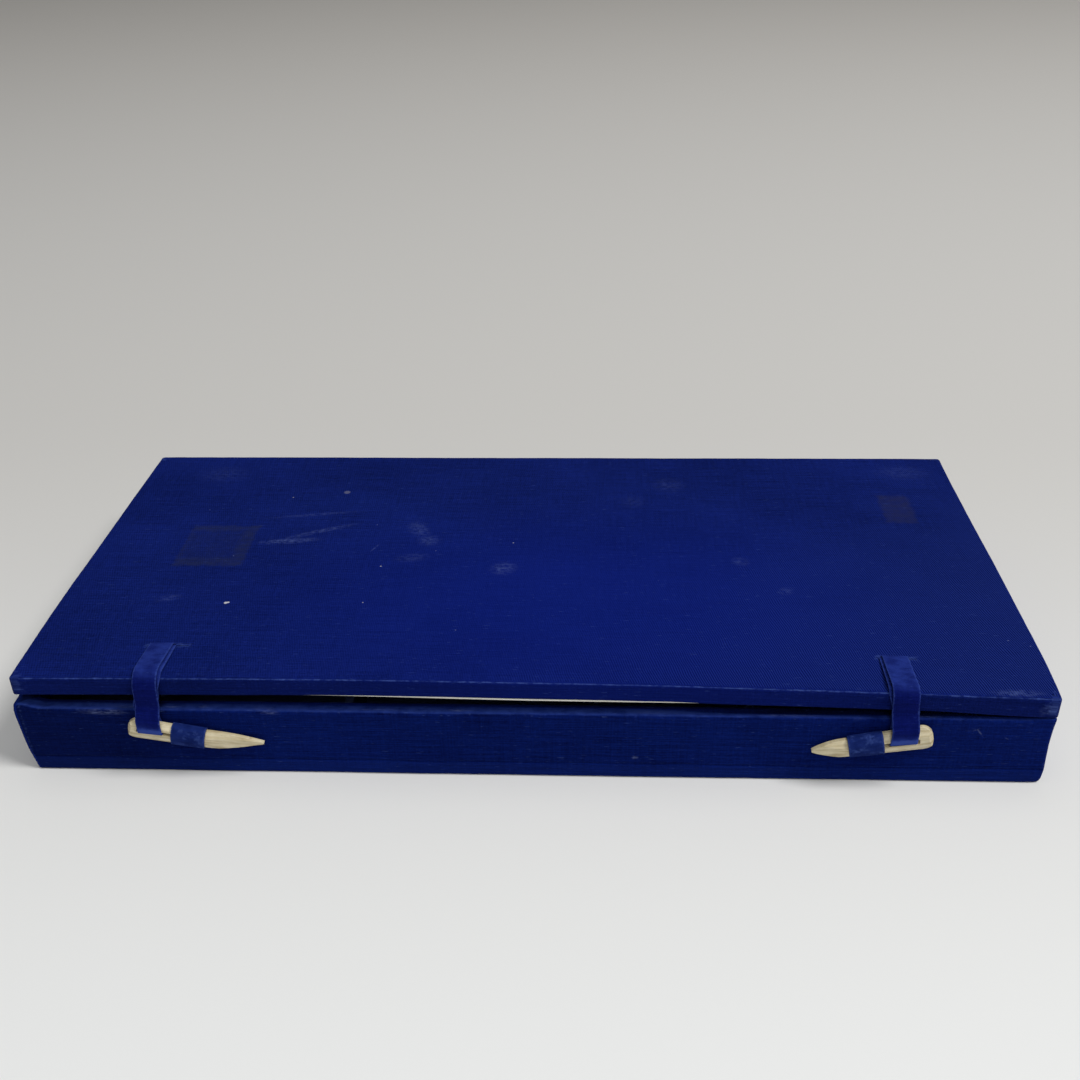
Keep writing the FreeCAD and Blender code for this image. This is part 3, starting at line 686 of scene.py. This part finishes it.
class Graph:
    """Material built from nodes."""

    def __init__(self, name):
        self.material = bpy.data.materials.new(name)
        self.material.use_nodes = True
        self.tree = self.material.node_tree
        self.tree.nodes.clear()
        self.shader = self.tree.nodes.new("ShaderNodeBsdfPrincipled")
        out = self.tree.nodes.new("ShaderNodeOutputMaterial")
        self.tree.links.new(self.shader.outputs[0], out.inputs[0])

    def put(self, socket, value):
        if isinstance(value, bpy.types.NodeSocket):
            self.tree.links.new(value, socket)
        else:
            socket.default_value = value

    def node(self, kind, inputs=(), **settings):
        n = self.tree.nodes.new("ShaderNode" + kind)
        for k, v in settings.items():
            setattr(n, k, v)
        for k, v in dict(inputs).items():
            self.put(n.inputs[k], v)
        return n

    def math(self, operation, a, b=0.0, clamp=False):
        return self.node("Math", {0: a, 1: b}, operation=operation, use_clamp=clamp).outputs[0]

    def times(self, a, b):
        return self.math("MULTIPLY", a, b)

    def plus(self, a, b, clamp=False):
        return self.math("ADD", a, b, clamp)

    def minus(self, a, b):
        return self.math("SUBTRACT", a, b)

    def total(self, first, *others):
        for value in others:
            first = self.plus(first, value)
        return first

    def swing(self, value, amount, middle=0.5):
        """How far a value is from its middle, times an amount."""
        return self.times(self.minus(value, middle), amount)

    def split(self, vector):
        n = self.node("SeparateXYZ", {0: vector})
        return n.outputs[0], n.outputs[1]

    def vector(self, operation, inputs, out=0):
        return self.node("VectorMath", inputs, operation=operation).outputs[out]

    def length(self, vector):
        return self.vector("LENGTH", {0: vector}, "Value")

    def step(self, value, low, high, to_low=0.0, to_high=1.0):
        return self.node("MapRange", {0: value, 1: low, 2: high, 3: to_low, 4: to_high},
                         interpolation_type="SMOOTHSTEP").outputs[0]

    def mix(self, share, a, b):
        return self.node("Mix", {0: share, 6: a, 7: b}, data_type="RGBA").outputs[2]

    def scaled(self, vector, scale, move=(0, 0, 0), turn=0.0):
        return self.node("Mapping", {
            "Vector": vector, "Scale": scale, "Location": move, "Rotation": (0, 0, turn)}).outputs[0]

    def millimetres(self):
        return self.scaled(self.node("TexCoord").outputs["Object"], (1000, 1000, 1000))

    def noise(self, vector, scale, detail=2.0, rough=0.5):
        return self.node("TexNoise", {
            "Vector": vector, "Scale": scale, "Detail": detail, "Roughness": rough}).outputs[0]

    def stretched(self, vector, scale, detail, rough=0.5, move=(0, 0, 0)):
        """Noise drawn out along the axes."""
        return self.noise(self.scaled(vector, scale, move), 1.0, detail, rough)

    def cells(self, vector, scale):
        n = self.node("TexVoronoi", {"Vector": vector, "Scale": scale})
        return n.outputs[0], n.outputs[1]

    def attribute(self, name):
        return self.node("Attribute", attribute_name=name).outputs["Fac"]

    def set(self, **values):
        for k, v in values.items():
            self.put(self.shader.inputs[k.replace("_", " ")], v)

    def bump(self, height, distance, strength=1.0, normal=None):
        n = self.node("Bump", {"Height": height, "Distance": distance, "Strength": strength})
        if normal is not None:
            self.put(n.inputs["Normal"], normal)
        return n.outputs[0]


def book_cloth(name, deep, light, worn, faded_and_painted_light=None, twill=0.0, streaks=1.0, wear_amount=1.0, extra=None):
    """Woven cloth: threads, twill, slubs, fading and painted light, wear along edges and lint. Cloth places are in
    millimetres.
    """
    g = Graph(name)
    at = g.node("UVMap", uv_map="Cloth").outputs[0]
    wander = g.node("TexNoise", {"Vector": at, "Scale": 0.12, "Detail": 1.0}).outputs[1]
    off = g.vector("SCALE", {0: g.vector("SUBTRACT", {0: wander, 1: (0.5, 0.5, 0.5)}), "Scale": 1.2})
    u, v = g.split(g.vector("ADD", {0: at, 1: off}))
    ridge = g.math("SINE", g.plus(g.times(u, 8.0), g.times(v, 2.2)))
    warp = g.math("SINE", g.times(u, 2 * math.pi / 0.42))
    weft = g.math("SINE", g.times(v, 2 * math.pi / 0.46))
    threads = g.times(warp, weft)
    along = g.stretched(at, (0.05, 2.1, 1), 3.0, 0.6)
    short = g.stretched(at, (0.4, 2.6, 1), 3.0, 0.6, move=(5.1, 3.3, 0))
    over = g.stretched(at, (1.9, 0.06, 1), 3.0, 0.6)
    grain = g.stretched(at, (1.3, 1.6, 1), 2.0, 0.7)
    cloud = g.stretched(at, (0.016, 0.022, 1), 4.0, 0.55)
    tone = g.total(g.swing(along, 1.5 * streaks), g.swing(short, 1.2), g.swing(over, 0.8), g.swing(grain, 0.8),
                   g.swing(cloud, 0.9), g.times(threads, 0.04))
    if twill:
        across, back = g.split(at)
        zone = g.total(g.times(across, 0.8), g.times(back, -0.9), g.swing(cloud, 110.0))
        shown = g.plus(g.step(zone, 40.0, 140.0, 0.0, 0.9), 0.1)
        shown = g.times(shown, g.step(back, -78.0, -76.5))
        shown = g.times(shown, g.step(g.math("ABSOLUTE", across), 164.6, 163.4))
        tone = g.plus(tone, g.times(g.times(ridge, shown), twill))
    tone = g.plus(tone, 0.5, clamp=True)
    colour = g.mix(tone, deep, light)
    if twill:
        colour = g.mix(g.times(g.step(ridge, 0.0, 1.0, 0.0, 0.18), shown), colour, worn)
    rough_wear = g.stretched(at, (0.5, 0.8, 1), 4.0, 0.65)
    if extra:
        colour = extra(g, at, colour, rough_wear, short)
    # Paler cloth where the fade attribute is set: fading, and painted light on the rim's top and on the straps' run
    # over the lid
    if faded_and_painted_light:
        mottled = g.step(g.stretched(at, (0.24, 0.34, 1), 3.0), 0.25, 0.7, 0.35, 1.0)
        pale = g.times(g.attribute("fade_and_painted_light"), mottled)
        colour = g.mix(g.math("MINIMUM", g.times(pale, 0.8), 0.8), colour, faded_and_painted_light)
    dashes = g.step(g.stretched(at, (0.28, 2.3, 1), 2.0, 0.5, move=(1.7, 8.2, 0)), 0.655, 0.75, 0.0, 0.34)
    colour = g.mix(dashes, colour, worn)
    worn_at = g.plus(g.attribute("wear"), g.swing(rough_wear, 1.3, 0.55))
    rub = g.step(worn_at, 0.34, 1.15, 0.0, wear_amount)
    colour = g.mix(rub, colour, worn)
    near, tint = g.cells(g.scaled(at, (0.16, 0.22, 1)), 1.0)
    pick = g.node("SeparateColor", {0: tint}).outputs[0]
    lint = g.times(g.step(near, 0.055, 0.03), g.step(pick, 0.955, 0.97))
    colour = g.mix(g.times(lint, 0.4), colour, linear(120, 132, 175))
    height = g.plus(g.times(ridge, 0.1), g.times(threads, 0.3))
    height = g.plus(height, g.plus(along, short))
    fine = g.bump(height, 0.00006, 0.7)
    broad = g.bump(g.plus(grain, cloud), 0.00012, 0.5, fine)
    g.set(Base_Color=colour, Roughness=g.step(tone, 0.0, 1.0, 0.98, 0.86), Normal=broad, Specular_IOR_Level=0.03,
          Sheen_Weight=0.008, Sheen_Roughness=0.5, Sheen_Tint=linear(120, 140, 220))
    return g.material


def patches(g, at, spread):
    """Masks on the cloth: an oval with threads showing through, a ragged box and a round speck."""
    u, v = g.split(at)
    ragged = g.swing(g.stretched(at, (0.3, 0.3, 1), 3.0), spread)

    def oval(x, y, rx, ry, turn, strength, rough):
        m = g.scaled(at, (1, 1, 1), (-x, -y, 0))
        m = g.scaled(g.scaled(m, (1, 1, 1), (0, 0, 0), -turn), (1 / rx, 1 / ry, 1))
        return g.times(g.step(g.length(m), 1.0, 0.1), g.step(rough, 0.36, 0.68, 0.0, strength))

    def beyond(value, low, high):
        return g.minus(g.math("ABSOLUTE", g.minus(value, (low + high) / 2)), (high - low) / 2)

    def box(x0, x1, y0, y1, soft):
        out = g.math("MAXIMUM", beyond(u, x0, x1), beyond(v, y0, y1))
        return g.step(g.plus(out, ragged), soft, -soft)

    def speck(x, y, r, strength):
        return g.step(g.vector("DISTANCE", {0: at, 1: (x, y, 0)}, "Value"), r, r * 0.5, 0.0, strength)

    return oval, box, speck


# Rubbed places on the lid, under the front rim and on the walls: middle, half sizes, turn, strength
LID_SMEARS = (
    (-94, 7.6, 15, 2.6, 0.12, 0.62), (-84, 15, 19, 2.0, 0.42, 0.4), (-88, 28, 24, 1.6, 0.16, 0.22),
    (-46, 17, 5, 9, 0.45, 0.32), (-41, 8.5, 6, 5, 0.0, 0.32), (-46, -4, 9, 4, 0.2, 0.2),
    (-11.8, -10.8, 6.5, 5.6, 0.5, 0.42), (74, -4, 4.5, 4, -0.4, 0.22), (51, 54, 9, 8, 0.0, 0.15),
    (36, 40, 7, 7, 0.0, 0.1), (152, -76.0, 10, 2.4, 0.04, 0.5), (161.5, -81.5, 4, 2.6, 0.5, 0.5),
    (147, 66, 14, 8, 0.0, 0.15), (-134, 62, 14, 10, 0.0, 0.11), (-60.7, 3, 4.5, 0.5, 1.15, 0.4),
    (88, -23, 4, 3, 0.5, 0.25), (-128, -32, 6, 3, 0.3, 0.25),
)
RIM_SMEARS = (
    (26.5, 25.2, 10, 1.8, 0.0, 0.55), (33, 27.4, 8, 1.0, 0.0, 0.5), (48, 27.4, 5, 0.7, 0.0, 0.8),
    (59, 27.6, 2.6, 0.9, 0.0, 0.6), (79, 26.6, 6, 1.6, -0.2, 0.5), (116, 27.2, 9, 0.6, 0.0, 0.5),
    (142, 27.3, 6, 0.8, 0.0, 0.7), (203, 27.4, 9, 0.9, 0.0, 0.45), (246, 26.8, 16, 0.6, 0.0, 0.45),
    (286, 27.0, 12, 0.6, 0.0, 0.35),
)
WALL_SCRATCHES = (
    (306.2, 20.6, 2.8, 0.4, -0.95, 0.6), (304.6, 21.8, 1.6, 0.4, 0.5, 0.4), (314.7, 18.5, 1.5, 0.4, -0.6, 0.2),
    (316, 8.1, 1.6, 0.5, 0.2, 0.18), (198, 8.5, 1.5, 1.1, 0.0, 0.6),
)
# Pale specks on the lid: middle, radius, strength
LID_SPECKS = (
    (-106.9, -34.9, 0.8, 0.9), (-106.1, -34.6, 0.6, 0.9), (-56.5, -10.1, 0.4, 0.55), (-59, -34.1, 0.35, 0.45),
    (-9.3, 7.3, 0.35, 0.45), (-100.2, 42.1, 0.35, 0.4), (-79.1, 46.5, 1.6, 0.14),
)


def lid_marks(g, at, colour, rough_wear, short):
    """Richer blue in the middle, painted shade on the front face, two brown stains, rubbed smears and specks on the
    lid.
    """
    oval, box, speck = patches(g, at, 3.0)
    _, back = g.split(at)
    # Painted shade: the lid's front face is darkened against its top
    colour = g.mix(g.step(back, -77.4, -78.6, 0.0, 0.4), colour, linear(1, 6, 46))
    m = g.scaled(g.scaled(at, (1, 1, 1), (-18, 34, 0)), (1 / 150, 1 / 88, 1))
    rich = g.step(g.length(m), 1.05, 0.15, 0.0, 1.0)
    colour = g.mix(rich, colour, g.mix(0.45, colour, linear(8, 25, 116)))
    mottled = g.step(g.stretched(at, (0.25, 0.4, 1), 3.0), 0.3, 0.7, 0.55, 1.0)
    ring = g.minus(box(-133.6, -108.0, -10.4, 18.8, 0.9), g.times(box(-132.6, -113.0, -4.5, 15.5, 2.0), 0.6))
    colour = g.mix(g.times(ring, g.times(mottled, 0.5)), colour, linear(34, 40, 62))
    stain = g.times(box(132.8, 144.6, 26.0, 46.6, 1.0), g.times(mottled, 0.55))
    colour = g.mix(stain, colour, linear(35, 38, 66))
    for spec in LID_SMEARS:
        colour = g.mix(oval(*spec, rough_wear), colour, linear(76, 92, 148))
    for spec in LID_SPECKS:
        colour = g.mix(speck(*spec), colour, linear(196, 196, 200))
    return colour


def wall_marks(g, at, colour, rough_wear, short):
    """Painted shade: the front wall left darker than the other walls, its left part darker still, and near black on the
    rim's top where the lid shades it; also a lighter band under the crease, rubbed streaks under the rim's top and
    scratches.
    """
    oval, _, _ = patches(g, at, 1.0)
    along, up = g.split(at)
    front_end, left_post = 326.0, 954.0
    # Painted shade on the front wall: past the front's end the walls are lightened towards the lid's blue, so only the
    # front wall keeps the darker colours
    colour = g.mix(g.step(along, front_end, front_end + 7, 0.0, 0.4), colour, linear(14, 36, 116))
    # Painted shade: the left part of the front wall is darker still
    colour = g.mix(g.step(along, 90.0, 5.0, 0.0, 0.5), colour, linear(1, 7, 40))
    colour = g.mix(g.step(up, CREASE_Z + 0.1, CREASE_Z - 0.9, 0.0, 0.15), colour, linear(24, 44, 116))
    # Painted shade under the lid: near black on the deeper part of the rim's top, on the left end's rim by the front
    # corner and on the rim's top over the right of the front wall
    deep = g.times(g.step(up, 28.5, 29.7), g.step(along, front_end, front_end - 4, 0.0, 0.65))
    deep = g.times(deep, g.step(along, 90.0, 190.0, 0.15, 1.0))
    corner = g.times(g.step(up, 28.1, 28.8), g.step(along, left_post, left_post + 8, 0.0, 0.85))
    covered = g.times(g.step(along, 205.0, 250.0), g.step(along, front_end, front_end - 4, 0.0, 0.85))
    covered = g.times(covered, g.step(up, 27.0, 27.8))
    colour = g.mix(g.math("MAXIMUM", g.math("MAXIMUM", deep, corner), covered), colour, linear(1, 5, 30))
    for specs, rough in ((RIM_SMEARS, short), (WALL_SCRATCHES, rough_wear)):
        for spec in specs:
            colour = g.mix(oval(*spec, rough), colour, linear(96, 108, 148))
    return colour


def band_marks(g, at, colour, rough_wear, short):
    """Pale blotches where the clasp has rubbed the band."""
    blotch = g.step(g.stretched(at, (0.26, 0.36, 1), 3.0, 0.65, move=(3.7, 1.9, 0)), 0.5, 0.68, 0.0, 0.7)
    return g.mix(blotch, colour, linear(66, 88, 152))


def paper(name, pale, dark, spot, fibre=1.0):
    """Paper or card: fibres, cloudy toning, a few foxing spots."""
    g = Graph(name)
    mm = g.millimetres()
    cloud = g.noise(mm, 0.03, 4.0, 0.6)
    tooth = g.noise(mm, 1.8, 3.0, 0.7)
    strands = g.stretched(mm, (0.35, 2.2, 1.2), 3.0, 0.6)
    tone = g.plus(g.times(g.step(cloud, 0.3, 0.75), 0.6), g.swing(strands, 0.5 * fibre))
    tone = g.plus(tone, g.swing(tooth, 0.35), clamp=True)
    colour = g.mix(tone, pale, dark)
    near, tint = g.cells(mm, 0.07)
    pick = g.node("SeparateColor", {0: tint}).outputs[0]
    spots = g.times(g.step(near, 0.16, 0.02), g.step(pick, 0.72, 0.95, 0.0, 0.55))
    colour = g.mix(spots, colour, spot)
    height = g.plus(g.times(tooth, 0.6), strands)
    g.set(Base_Color=colour, Roughness=g.step(tooth, 0.2, 0.8, 0.82, 0.96), Normal=g.bump(height, 0.00005, 0.7),
          Specular_IOR_Level=0.2)
    return g.material


def grey_board(name):
    """Pressed pulp board with flecks."""
    g = Graph(name)
    mm = g.millimetres()
    layers = g.stretched(mm, (0.25, 0.25, 3.5), 3.0, 0.6)
    flecks = g.noise(mm, 2.4, 4.0, 0.75)
    tone = g.plus(g.times(layers, 0.6), g.times(flecks, 0.5), clamp=True)
    colour = g.mix(tone, linear(122, 108, 88), linear(178, 164, 138))
    g.set(Base_Color=colour, Roughness=g.step(flecks, 0.2, 0.8, 0.85, 0.97), Normal=g.bump(tone, 0.0001, 0.8),
          Specular_IOR_Level=0.2)
    return g.material


def bone(name):
    """Polished old bone: lengthwise grain, short dark pores, yellowed patches."""
    g = Graph(name)
    at = g.node("UVMap", uv_map="Cloth").outputs[0]
    grain = g.stretched(at, (0.10, 3.2, 1), 4.0, 0.6)
    streak = g.stretched(at, (0.05, 1.1, 1), 3.0, 0.55, move=(4, 9, 0))
    cloud = g.stretched(at, (0.14, 0.3, 1), 3.0, 0.5)
    tone = g.plus(g.times(g.step(streak, 0.35, 0.68), 0.5), g.times(g.step(cloud, 0.35, 0.7), 0.4))
    tone = g.plus(tone, g.swing(grain, 0.5), clamp=True)
    colour = g.mix(tone, linear(216, 205, 174), linear(160, 143, 102))
    pores = g.step(g.stretched(at, (0.5, 5.5, 1), 2.0, 0.5, move=(2, 3, 0)), 0.62, 0.74, 0.0, 0.5)
    colour = g.mix(pores, colour, linear(122, 100, 64))
    height = g.minus(grain, g.times(pores, 0.8))
    g.set(Base_Color=colour, Roughness=g.step(grain, 0.25, 0.75, 0.22, 0.42), Normal=g.bump(height, 0.00006, 0.6),
          Specular_IOR_Level=0.45, Subsurface_Weight=0.12, Subsurface_Radius=(0.0012, 0.0009, 0.0006))
    return g.material


cloth_blue = book_cloth("cloth_blue", linear(4, 15, 66), linear(15, 32, 108), linear(58, 78, 142),
                        twill=1.3, extra=lid_marks)
# Painted shade: the walls' cloth is given darker colours than the same cloth on the lid, so the front wall renders
# shaded; wall_marks lightens the other walls again
wall_blue_shaded = book_cloth("wall_blue_shaded", linear(1, 10, 60), linear(6, 27, 98), linear(62, 80, 134),
                       faded_and_painted_light=linear(36, 56, 126), streaks=1.3, extra=wall_marks)
strap_blue = book_cloth("strap_blue", linear(2, 8, 62), linear(8, 18, 90), linear(54, 74, 146),
                        faded_and_painted_light=linear(35, 53, 132), wear_amount=0.7)
band_blue = book_cloth("band_blue", linear(3, 13, 58), linear(12, 28, 86), linear(66, 86, 150),
                       faded_and_painted_light=linear(25, 42, 104), wear_amount=0.5, extra=band_marks)
lining_paper = paper("lining_paper", linear(40, 48, 80), linear(28, 35, 62), linear(20, 24, 42))
white_card = paper("white_card", linear(240, 238, 230), linear(224, 220, 206), linear(190, 168, 128), 0.6)
divider_paper = paper("divider_paper", linear(46, 55, 90), linear(32, 40, 70), linear(22, 27, 48))
board_grey = grey_board("board_grey")
bone_cream = bone("bone_cream")


def dress(piece, body, material, slot, *stands_for):
    """Give a piece its material, body and the nodes that it stands for. The finish slot is not used."""
    piece.data.materials.clear()
    piece.data.materials.append(material)
    if body:
        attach(piece, body)
    if stands_for:
        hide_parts(*stands_for)
    return piece


lid_skin = dress(lid_cover(), "lid", cloth_blue, "cloth", "lid_cloth")
wall_skin = dress(wall_cover(), "base", wall_blue_shaded, "cloth", "wall_cloth")
base_skin = dress(base_cover(), "base", wall_blue_shaded, "cloth", "base_cloth")

hinge = dress(hinge_strip(), None, wall_blue_shaded, "cloth", "hinge_cloth")
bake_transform(hinge)

for side in ("left", "right"):
    loop = dress(band(side), "base", band_blue, "strap", side + "_band")
    tie = dress(strap(side), None, strap_blue, "strap", side + "_strap")
    slit_top = (lid_under(STRAPS[side]["slit"], SLIT_Y) + LID_THICK) / 1000
    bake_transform(tie)
    dress(bone_clasp(side), side + "_clasp", bone_cream, "bone", side + "_clasp")
    dress(end_core(side), "base", board_grey, "board", side + "_end_board")

finishes = (("_board", board_grey), ("lid_lining", white_card), ("divider", divider_paper), ("", lining_paper))
for name, node in nodes.items():
    if not node.hide_render:
        node.data.materials.clear()
        node.data.materials.append(next(finish for ending, finish in finishes if name.endswith(ending)))

# Floor, light and camera
floor_bm = bmesh.new()
bmesh.ops.create_grid(floor_bm, x_segments=4, y_segments=4, size=4.0)
floor = add_object("floor", plain_mesh("floor", floor_bm))
floor.location = (0, 0, -0.0002)
g = Graph("floor_pale")
_, floor_y = g.split(g.node("TexCoord").outputs["Object"])
# Painted light falloff: the floor is paler in front of the case and darker towards the back
floor_painted_falloff = g.mix(g.step(floor_y, -0.34, 0.20), linear(238, 239, 238), linear(203, 201, 197))
floor_painted_falloff = g.mix(g.step(floor_y, 0.3, 1.8), floor_painted_falloff, linear(203, 199, 193))
g.set(Base_Color=floor_painted_falloff, Roughness=0.9, Specular_IOR_Level=0.1)
floor.data.materials.append(g.material)

scene = bpy.context.scene
scene.view_settings.view_transform = "Standard"
world = bpy.data.worlds.new("soft_world")
scene.world = world
world.use_nodes = True
sky = world.node_tree.nodes["Background"]
sky.inputs["Color"].default_value = (0.94, 0.97, 1.0, 1.0)
sky.inputs["Strength"].default_value = 0.16


def soft_lamp(name, place, size, watts):
    """Round area lamp that is aimed at the case."""
    lamp = bpy.data.lights.new(name, "AREA")
    lamp.shape = "DISK"
    lamp.size = size
    lamp.energy = watts
    piece = add_object(name, lamp)
    piece.location = place
    piece.rotation_mode = "QUATERNION"
    piece.rotation_quaternion = (-Vector(place)).to_track_quat("-Z", "Y")


soft_lamp("key_light", (1.86, -0.58, 2.78), 1.2, 73)
soft_lamp("front_light", (0.15, -2.14, 2.38), 1.3, 29)
soft_lamp("top_light", (0, 0.1, 2.6), 2.1, 8)

camera = bpy.data.cameras.new("camera")
camera.sensor_width = 36
camera.lens = 40
camera_piece = add_object("camera", camera)
yaw, pitch, roll = -0.05367, 0.54820, -0.02248
forward = Vector((math.sin(yaw) * math.cos(pitch), math.cos(yaw) * math.cos(pitch), -math.sin(pitch)))
level = Vector((math.cos(yaw), -math.sin(yaw), 0))
above = level.cross(forward)
right = level * math.cos(roll) + above * math.sin(roll)
up = above * math.cos(roll) - level * math.sin(roll)
turned = Matrix((right, up, -forward)).transposed().to_4x4()
camera_piece.matrix_world = Matrix.Translation((0.0212, -0.3744, 0.2718)) @ turned
camera.clip_start = 0.01
scene.camera = camera_piece
